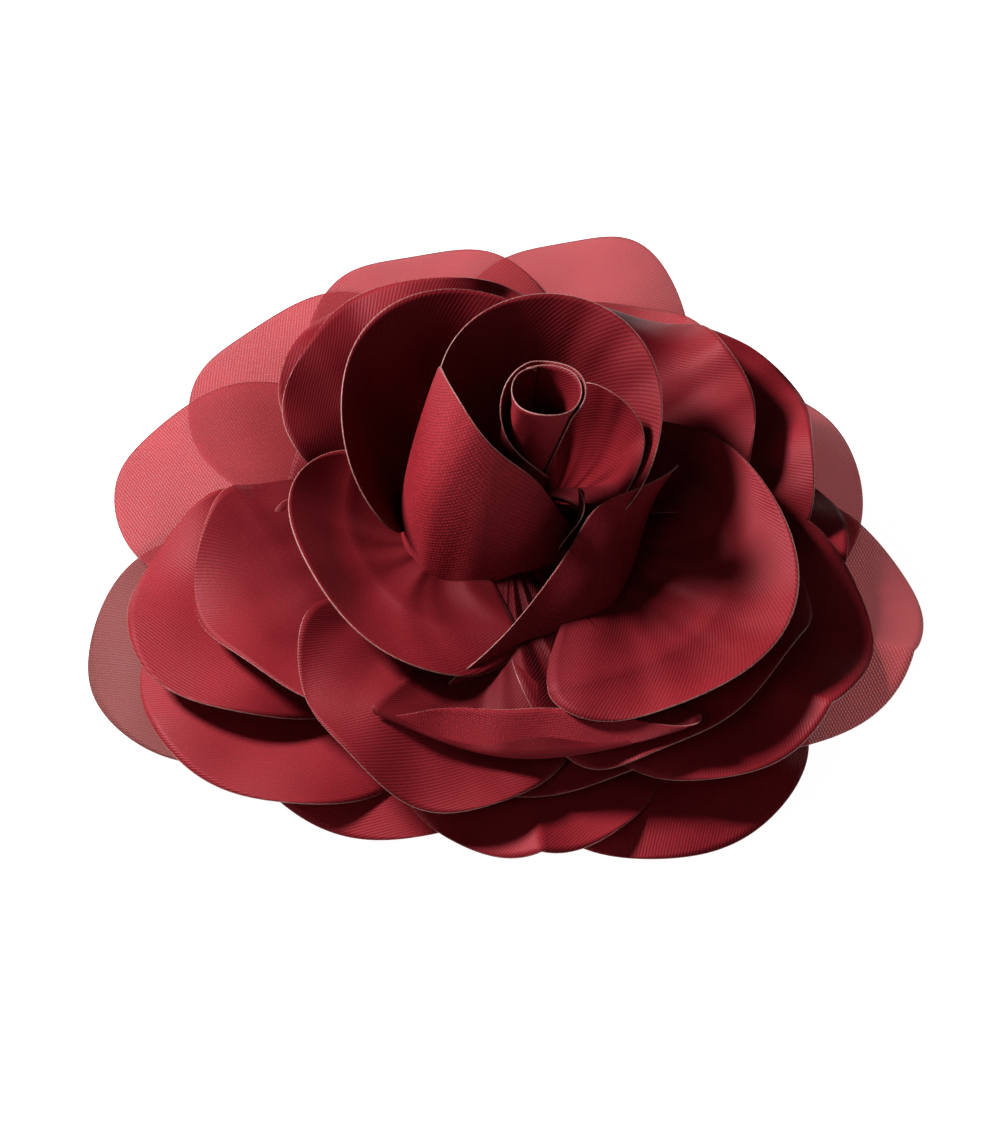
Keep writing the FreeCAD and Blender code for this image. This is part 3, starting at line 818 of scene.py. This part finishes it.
def make_spring(steel):
    """Make the spring, its two legs following the two arms."""
    mesh = tube_mesh("torsion_spring", spring_line(), WIRE_RADIUS)
    spring = new_piece("torsion_spring", mesh, "flower", [steel], ["clip_spring"])
    spring.parent = None  # a blended piece rides on no single body
    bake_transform(spring)


def finish_clip():
    """Plate the clip's CAD parts and add its spring."""
    plate = steel_material("nickel_plate", (0.72, 0.71, 0.69), (900.0, 9000.0, 9000.0), 0.16)
    for node in ("clip_upper_arm", "clip_lower_arm", "clip_pin"):
        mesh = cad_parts[node].data
        mesh.materials.clear()
        mesh.materials.append(plate)
    make_spring(steel_material("spring_wire", (0.55, 0.55, 0.56), (1500.0, 6000.0, 6000.0), 0.28))


# ---- floor and light ----
FLOOR_HALF = 2.5
FLOOR_DROP = 0.0002


def make_floor():
    """A pale floor that glows a little, like a light table, and hides nothing from below."""
    material, tree, output = new_material("pale_floor")
    place = add_node(tree, "TexCoord").outputs["Object"]
    mottle = add_node(tree, "TexNoise", {"Vector": place, "Scale": 6.0, "Detail": 2.0}).outputs[0]
    colour = mixed(tree, mottle, (0.34, 0.34, 0.34, 1.0), (0.36, 0.36, 0.36, 1.0))
    surface = add_node(tree, "BsdfPrincipled", {
        "Base Color": colour, "Roughness": 0.9, "Specular IOR Level": 0.1,
        "Emission Color": (1.0, 1.0, 1.0, 1.0), "Emission Strength": 0.97})
    behind = add_node(tree, "NewGeometry").outputs["Backfacing"]
    unseen = add_node(tree, "BsdfTransparent")
    seen = add_node(tree, "MixShader", {0: behind, 1: surface.outputs[0], 2: unseen.outputs[0]})
    tree.links.new(seen.outputs[0], output.inputs[0])
    mesh = bpy.data.meshes.new("floor")
    signs = [(-1, -1), (1, -1), (1, 1), (-1, 1)]
    corners = [(x * FLOOR_HALF, y * FLOOR_HALF, 0.0) for x, y in signs]
    mesh.from_pydata(corners, [], [(0, 1, 2, 3)])
    mesh.materials.append(material)
    floor = bpy.data.objects.new("floor", mesh)
    floor.location.z = cad_box[0].z - FLOOR_DROP
    bpy.context.scene.collection.objects.link(floor)


# Azimuth (0 is the camera's side, 90 the right), elevation, distance in metres, size in metres, watts.
LIGHTS = {
    "key": (-114.0, 43.0, 0.9, 0.20, 23.0),
    "fill_left": (-40.0, 40.0, 1.0, 0.40, 1.2),
    "fill_right": (60.0, 50.0, 1.1, 0.50, 0.6),
    "under": (-30.0, -60.0, 0.8, 0.50, 2.0),
}
SKY = (0.04, 0.04, 0.04, 1.0)
BACKDROP = (0.92, 0.92, 0.92, 1.0)
AIM = Vector((0.0, 0.0, 0.02))


def from_aim(aim, azimuth, elevation, distance):
    """The point at a direction and distance from what is aimed at."""
    azimuth, elevation = math.radians(azimuth), math.radians(elevation)
    level, rise = distance * math.cos(elevation), distance * math.sin(elevation)
    return aim + Vector((level * math.sin(azimuth), -level * math.cos(azimuth), rise))


def point_at(thing, aim):
    """Turn a lamp or the camera towards a point."""
    thing.rotation_euler = (aim - thing.location).to_track_quat("-Z", "Y").to_euler()


def make_lights():
    """The lamps, and a view transform that keeps colours as they are."""
    for name, (azimuth, elevation, distance, size, watts) in LIGHTS.items():
        light = bpy.data.lights.new(name, "AREA")
        light.shape = "DISK"
        light.size = size
        light.energy = watts
        lamp = bpy.data.objects.new(name, light)
        lamp.location = from_aim(AIM, azimuth, elevation, distance)
        point_at(lamp, AIM)
        bpy.context.scene.collection.objects.link(lamp)
    bpy.context.scene.view_settings.view_transform = "Standard"


def make_world():
    """A dim room, with a pale backdrop behind everything."""
    world = bpy.data.worlds.new("studio")
    world.use_nodes = True
    tree = world.node_tree
    seen = add_node(tree, "LightPath").outputs["Is Camera Ray"]
    tree.links.new(mixed(tree, seen, SKY, BACKDROP), tree.nodes["Background"].inputs["Color"])
    bpy.context.scene.world = world


CAMERA_ELEVATION = 50.0
CAMERA_DISTANCE = 650.0
CAMERA_AIM = (-0.8, -2.2, 10.3)
CAMERA_LENS = 150.0


def make_camera():
    """The camera, where the photographer's was."""
    camera = bpy.data.cameras.new("camera")
    camera.lens = CAMERA_LENS
    viewer = bpy.data.objects.new("camera", camera)
    aim = Vector(CAMERA_AIM) * MM
    viewer.location = from_aim(aim, 0.0, CAMERA_ELEVATION, CAMERA_DISTANCE * MM)
    point_at(viewer, aim)
    bpy.context.scene.collection.objects.link(viewer)
    bpy.context.scene.camera = viewer


sealed_edge = edge_material()
make_felt_and_glue()
make_petals(sealed_edge)
make_bud(sealed_edge)
finish_clip()
make_floor()
make_lights()
make_world()
make_camera()
